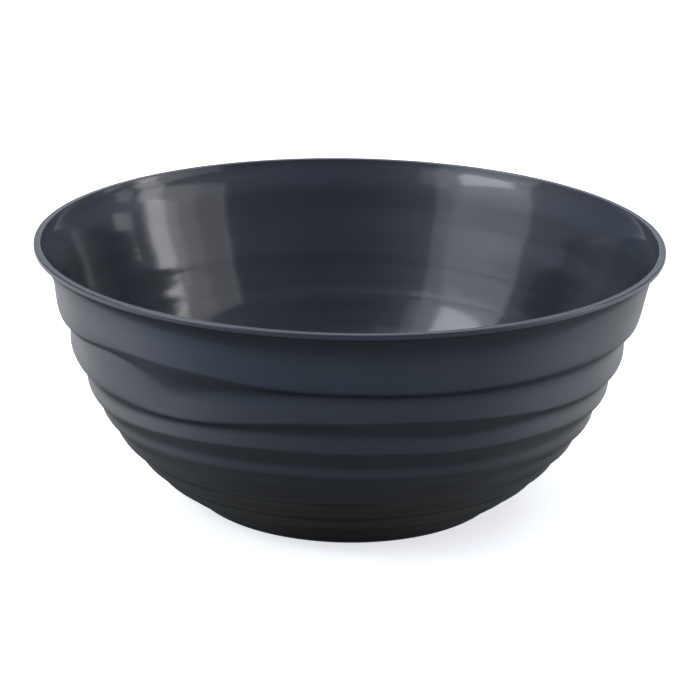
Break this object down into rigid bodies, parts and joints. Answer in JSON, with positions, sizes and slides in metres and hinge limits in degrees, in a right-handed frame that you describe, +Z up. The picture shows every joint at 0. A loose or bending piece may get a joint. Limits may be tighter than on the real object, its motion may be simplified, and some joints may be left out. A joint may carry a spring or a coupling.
{
  "type": "mixing bowl",
  "caption": "Round one-piece moulded plastic mixing bowl with a flat-topped lip, a wavy terraced wall and a flat foot ring.",
  "frame": {"origin": "middle of the foot ring's resting face", "axes": "+Z up out of the bowl's mouth; -Y is the side that faces the viewer, +X is to the viewer's right"},
  "size_m": [0.3, 0.3, 0.127],
  "materials": {
    "navy_plastic": "moulded, satin outside and glossy inside"
  },
  "bodies": {
    "root": {"bowl_shell": "navy_plastic"}
  },
  "joints": []
}
